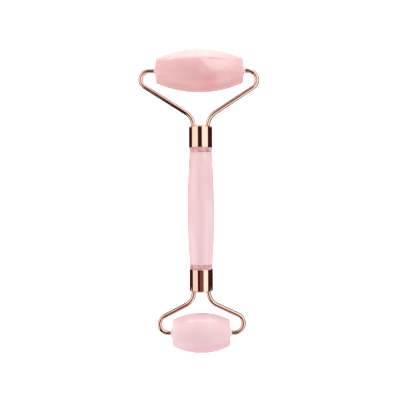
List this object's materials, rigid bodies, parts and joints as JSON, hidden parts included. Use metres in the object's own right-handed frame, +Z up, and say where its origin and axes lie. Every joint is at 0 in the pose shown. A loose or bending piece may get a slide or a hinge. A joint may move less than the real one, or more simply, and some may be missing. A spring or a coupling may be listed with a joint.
{
  "type": "face roller",
  "caption": "Double-ended face roller: slim stone handle with a polished wire fork at each end, each holding a barrel-shaped stone that turns freely on the fork's inner ends.",
  "frame": {"origin": "centre of the tool's footprint, on the surface it lies on", "axes": "+Z up from the surface, +Y along the tool towards the large roller, X along both rollers' turning axes"},
  "size_m": [0.0562, 0.1412, 0.02],
  "materials": {
    "handle_quartz": "polished, slightly translucent, soft pink with faint clouds",
    "large_roller_quartz": "polished, slightly translucent, deeper pink with pale clouds and a veil",
    "small_roller_quartz": "polished, slightly translucent, pale pink",
    "rose_gold_ferrule": "mirror-polished rose-gold plating; the core metal is not visible, and brass is assumed",
    "rose_gold_wire": "mirror-polished rose-gold plating; the core metal is not visible, and brass is assumed",
    "nylon": "natural translucent nylon",
    "epoxy": "cured adhesive, pinkish and speckled where it shows beside each ferrule"
  },
  "bodies": {
    "frame": {"handle": "handle_quartz", "large_ferrule": "rose_gold_ferrule", "large_adhesive": "epoxy", "large_arm_left": "rose_gold_wire", "large_arm_right": "rose_gold_wire", "small_ferrule": "rose_gold_ferrule", "small_adhesive": "epoxy", "small_arm_left": "rose_gold_wire", "small_arm_right": "rose_gold_wire"},
    "large_roller": {"large_roller_stone": "large_roller_quartz", "large_bushing_left": "nylon", "large_bushing_right": "nylon"},
    "small_roller": {"small_roller_stone": "small_roller_quartz", "small_bushing_left": "nylon", "small_bushing_right": "nylon"}
  },
  "joints": [
    {"name": "large_roller_spin", "type": "hinge", "parent": "frame", "child": "large_roller", "pos_m": [0.0007, 0.06062, 0.01], "axis": [1, 0, 0], "continuous": true},
    {"name": "small_roller_spin", "type": "hinge", "parent": "frame", "child": "small_roller", "pos_m": [0.0007, -0.06127, 0.00935], "axis": [1, 0, 0], "continuous": true}
  ]
}
